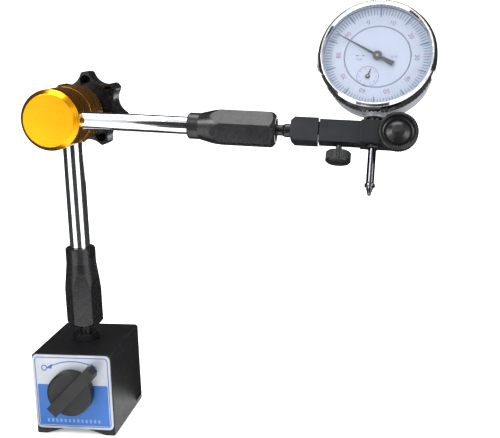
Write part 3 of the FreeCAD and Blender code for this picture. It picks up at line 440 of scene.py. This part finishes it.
def label_print():
    low, high = 0.0, LABEL_PRINT_HEIGHT
    edge = rounded(-23.2, 5.3, 23.2, 50.2, 2.4)
    inside = rounded(-22.7, 5.8, 22.7, 49.7, 2.0)
    label_piece("label_outline", band("label_outline", edge, inside, low, high), "blue")
    field = rounded(-22.2, 6.2, 22.2, 32.6, 0.8)
    label_piece("label_field", slab("label_field", [field], low, high), "blue")
    bow = arc(BOW_RADIUS, 65, 118, 24, *BOW_CENTRE)
    back = arc(BOW_RADIUS - BOW_WIDTH, 65, 118, 24, *BOW_CENTRE)[::-1]
    right, left = bow[0], bow[-1]
    heads = [
        [(right[0] + 2.6, right[1] - 1.3), (right[0] - 1.4, right[1] + 1.6),
         (right[0] - 0.9, right[1] - 1.5)],
        [(left[0] - 2.6, left[1] - 1.2), (left[0] + 1.0, left[1] - 1.7),
         (left[0] + 1.5, left[1] + 1.5)],
    ]
    label_piece("label_arrow", slab("label_arrow", [bow + back, *heads], low, high), "blue")
    ring_mark = ring("label_off_mark", 1.6, 0.6, low, high, -17.2, 43.2, 32)
    label_piece("label_off_mark", ring_mark, "blue")
    dashes = []
    for index in range(DASHES):
        start = DASH_START + DASH_PITCH * index
        end = start + DASH_LENGTH
        dashes.append([(start, DASH_BOTTOM), (end, DASH_BOTTOM), (end, DASH_TOP),
                       (start, DASH_TOP)])
    label_piece("label_dashes", slab("label_dashes", dashes, low + DASH_LIFT, high + DASH_LIFT),
                "white")


# ------------------------------------------------------------------ printed dial
FACE_TOP = 8.8
INK_HEIGHT = 0.05
SCALE_TURN = 17
FIGURE_CIRCLE, FIGURE_HEIGHT, FIGURE_PITCH = 21.3, 2.7, 36
COUNTER_CENTRE = (-4.6, -11.9)


def dial_piece(name, mesh, ink, body="dial"):
    piece(name, mesh, PRINTS[ink], body, DIAL_FACE)


def dial_print():
    top, over = FACE_TOP, FACE_TOP + INK_HEIGHT
    fine = marks(100, 27.0, (4.0, 0.42, 0.08), PRINTS["slate"])
    fine.transform(move(0, 0, top + 0.02))
    dial_piece("scale_marks", fine, "slate", "bezel")
    tens = marks(10, 26.3, (5.4, 0.62, 0.08), PRINTS["slate"])
    tens.transform(move(0, 0, top + 0.03) @ turn(SCALE_TURN, "Z"))
    dial_piece("scale_tens", tens, "slate", "bezel")
    figures = []
    for index in range(10):
        angle = 90 + SCALE_TURN - FIGURE_PITCH * index
        x = FIGURE_CIRCLE * math.cos(math.radians(angle))
        y = FIGURE_CIRCLE * math.sin(math.radians(angle))
        figures.append(sign(str(index * 10), FIGURE_HEIGHT, x, y, top, INK_HEIGHT, angle - 90))
    dial_piece("scale_figures", joined("scale_figures", figures), "rose", "bezel")
    dial_piece("centre_circle", ring("centre_circle", 17.9, 0.28, top, over), "grey")

    border = ring("counter_border", 5.9, 0.26, top, over, *COUNTER_CENTRE, 64)
    dial_piece("counter_border", border, "grey")
    dots = marks(10, 4.6, (0.75, 0.3, 0.06), PRINTS["black"])
    dots.transform(move(*COUNTER_CENTRE, top + 0.02))
    dial_piece("counter_marks", dots, "black")
    value = [sign("0.01", 1.5, -9.6, -2.0, top, INK_HEIGHT),
             sign("0-10", 1.3, 9.2, -0.1, top, INK_HEIGHT)]
    dial_piece("dial_value", joined("dial_value", value), "grey")
    arrows = []
    for x in (-11.2, -8.0):
        arrows.append([(x - 0.9, 0.35), (x + 0.8, 0.75), (x + 0.8, -0.05)])
    dial_piece("dial_arrows", slab("dial_arrows", arrows, top, over), "black")


# ------------------------------------------------------------------ floor, light and camera
# Metres, watts and degrees.
FLOOR_FRONT, FLOOR_BEND, FLOOR_HALF_WIDTH = -3.0, 0.9, 4.0
BEND_RADIUS, BEND_STEPS, WALL_TOP = 0.8, 12, 3.5
CARD_CENTRE_X, CARD_REACH, CARD_LIFT = 0.05, 1.3, 0.003
LAMPS = (
    ("key_light", (-0.9, -1.3, 1.5), (0.05, 0, 0.15), 0.9, 26.0),
    ("fill_light", (1.5, -0.9, 0.7), (0.05, 0, 0.15), 0.8, 9.0),
    ("top_light", (0.1, 0.2, 1.7), (0.08, 0, 0.15), 1.0, 14.0),
)
CAMERA_SPOT_MM = (194.75, -515.90, 241.00)
CAMERA_YAW, CAMERA_PITCH, CAMERA_ROLL = 9.594, 11.992, -1.755
CAMERA_LENS_MM, CAMERA_SENSOR_MM = 64.4, 36.0


def studio():
    mesh = bpy.data.meshes.new("floor_sweep")
    data = bmesh.new()
    profile = [(FLOOR_FRONT, 0.0), (FLOOR_BEND, 0.0)]
    for index in range(1, BEND_STEPS + 1):
        angle = math.radians(90.0 * index / BEND_STEPS)
        profile.append((FLOOR_BEND + BEND_RADIUS * math.sin(angle),
                        BEND_RADIUS - BEND_RADIUS * math.cos(angle)))
    profile.append((FLOOR_BEND + BEND_RADIUS, WALL_TOP))
    rows = [[data.verts.new((x, y, z)) for y, z in profile]
            for x in (-FLOOR_HALF_WIDTH, FLOOR_HALF_WIDTH)]
    for index in range(len(profile) - 1):
        data.faces.new((rows[0][index], rows[1][index],
                        rows[1][index + 1], rows[0][index + 1]))
    data.to_mesh(mesh)
    data.free()
    floor = bpy.data.objects.new("floor_sweep", mesh)
    bpy.context.scene.collection.objects.link(floor)
    for face in mesh.polygons:
        face.use_smooth = True
    pale = Finish("pale_floor", (0.93, 0.93, 0.93), 0.0, 0.9, Emission_Strength=0.32)
    pale.shader.inputs["Emission Color"].default_value = (1.0, 1.0, 1.0, 1.0)
    mesh.materials.append(pale.material)

    world = bpy.data.worlds.new("studio_air")
    world.use_nodes = True
    air = world.node_tree.nodes["Background"]
    air.inputs["Color"].default_value = (0.98, 0.99, 1.0, 1.0)
    air.inputs["Strength"].default_value = 1.0
    bpy.context.scene.world = world
    bpy.context.scene.view_settings.view_transform = "Standard"

    # Painted dark reflections: near-black cards seen only by glossy rays, which darken the metal's
    # reflections and cast no shade.
    paint_dark_reflection("rear_dark_reflection_card", -14.0, 215.0, 0.03, 3.0)
    paint_dark_reflection("front_dark_reflection_card", -106.0, -56.0, 0.3, 1.4)
    for settings in LAMPS:
        lamp(*settings)


def paint_dark_reflection(name, start, end, nearest, height):
    """Painted dark reflection: a card that only shows in glossy metal, a floor sector and the wall
    behind it.
    """
    rows = []
    mesh = bpy.data.meshes.new(name)
    data = bmesh.new()
    steps = max(4, int((end - start) / 6))
    edges = ((nearest, CARD_LIFT), (CARD_REACH, CARD_LIFT), (CARD_REACH, height))
    for reach, rise in edges:
        line = arc(reach, start, end, steps)
        rows.append([data.verts.new((CARD_CENTRE_X + x, y, rise)) for x, y in line])
    for lower, upper in zip(rows, rows[1:]):
        for index in range(steps):
            data.faces.new((lower[index], lower[index + 1], upper[index + 1], upper[index]))
    data.to_mesh(mesh)
    data.free()
    card = bpy.data.objects.new(name, mesh)
    bpy.context.scene.collection.objects.link(card)
    # Near-black colour of the painted dark reflection.
    mesh.materials.append(Finish(name, (0.012, 0.012, 0.013), 0.0, 1.0).material)
    card.visible_camera = False
    card.visible_diffuse = False
    card.visible_shadow = False
    card.visible_transmission = False


def lamp(name, spot, aim, size, power):
    """Square area light at a spot, pointing at the aim."""
    light = bpy.data.lights.new(name, "AREA")
    light.size = size
    light.energy = power
    made = bpy.data.objects.new(name, light)
    bpy.context.scene.collection.objects.link(made)
    way = Vector(aim) - Vector(spot)
    pointed = way.to_track_quat("-Z", "Y").to_matrix().to_4x4()
    made.matrix_world = Matrix.Translation(spot) @ pointed


def camera():
    """Stands to the right of the base and looks slightly left and down."""
    yaw, pitch, roll = map(math.radians, (CAMERA_YAW, CAMERA_PITCH, CAMERA_ROLL))
    ahead = Vector((-math.sin(yaw) * math.cos(pitch), math.cos(yaw) * math.cos(pitch),
                    -math.sin(pitch)))
    level = Vector((math.cos(yaw), math.sin(yaw), 0.0))
    above = level.cross(ahead)
    right = math.cos(roll) * level + math.sin(roll) * above
    up = -math.sin(roll) * level + math.cos(roll) * above
    lens = bpy.data.cameras.new("camera")
    lens.lens = CAMERA_LENS_MM
    lens.sensor_width = CAMERA_SENSOR_MM
    made = bpy.data.objects.new("camera", lens)
    bpy.context.scene.collection.objects.link(made)
    turned = Matrix((right, up, -ahead)).transposed().to_4x4()
    made.matrix_world = move(*CAMERA_SPOT_MM) @ turned
    bpy.context.scene.camera = made


label_print()
dial_print()
studio()
camera()
